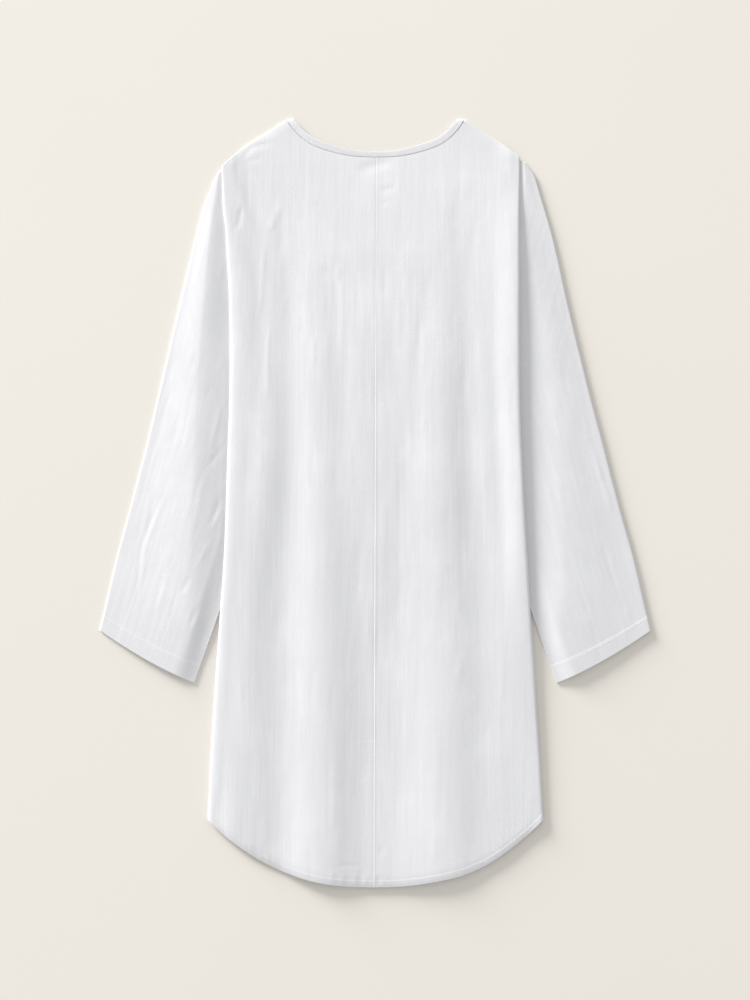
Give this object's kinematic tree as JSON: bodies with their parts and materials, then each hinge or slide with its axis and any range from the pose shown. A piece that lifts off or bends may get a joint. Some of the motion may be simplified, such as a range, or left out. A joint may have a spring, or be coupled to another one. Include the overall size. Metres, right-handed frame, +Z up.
{
  "type": "tunic top",
  "caption": "Long-sleeved linen tunic lying flat, back side up: round bound neck, centre-back seam, folded-in sides, straight sleeves and a curved shirt-tail hem.",
  "frame": {"origin": "middle of the bounding box, on the surface that the tunic lies on", "axes": "+Y towards the neck, +Z up out of the surface, +X towards the wearer's right sleeve, which is on the viewer's right"},
  "size_m": [0.6614, 0.9213, 0.0124],
  "materials": {
    "linen_back": "matte plain-weave white linen with slubs and fine lengthwise crinkles",
    "linen_front": "matte plain-weave white linen",
    "linen_sleeve": "matte plain-weave white linen with soft lengthwise creases",
    "linen_band": "matte white linen, folded and topstitched"
  },
  "bodies": {
    "root": {"front": "linen_front", "back_left": "linen_back", "back_right": "linen_back", "sleeve_left": "linen_sleeve", "sleeve_right": "linen_sleeve", "neck_binding": "linen_band"}
  },
  "joints": []
}
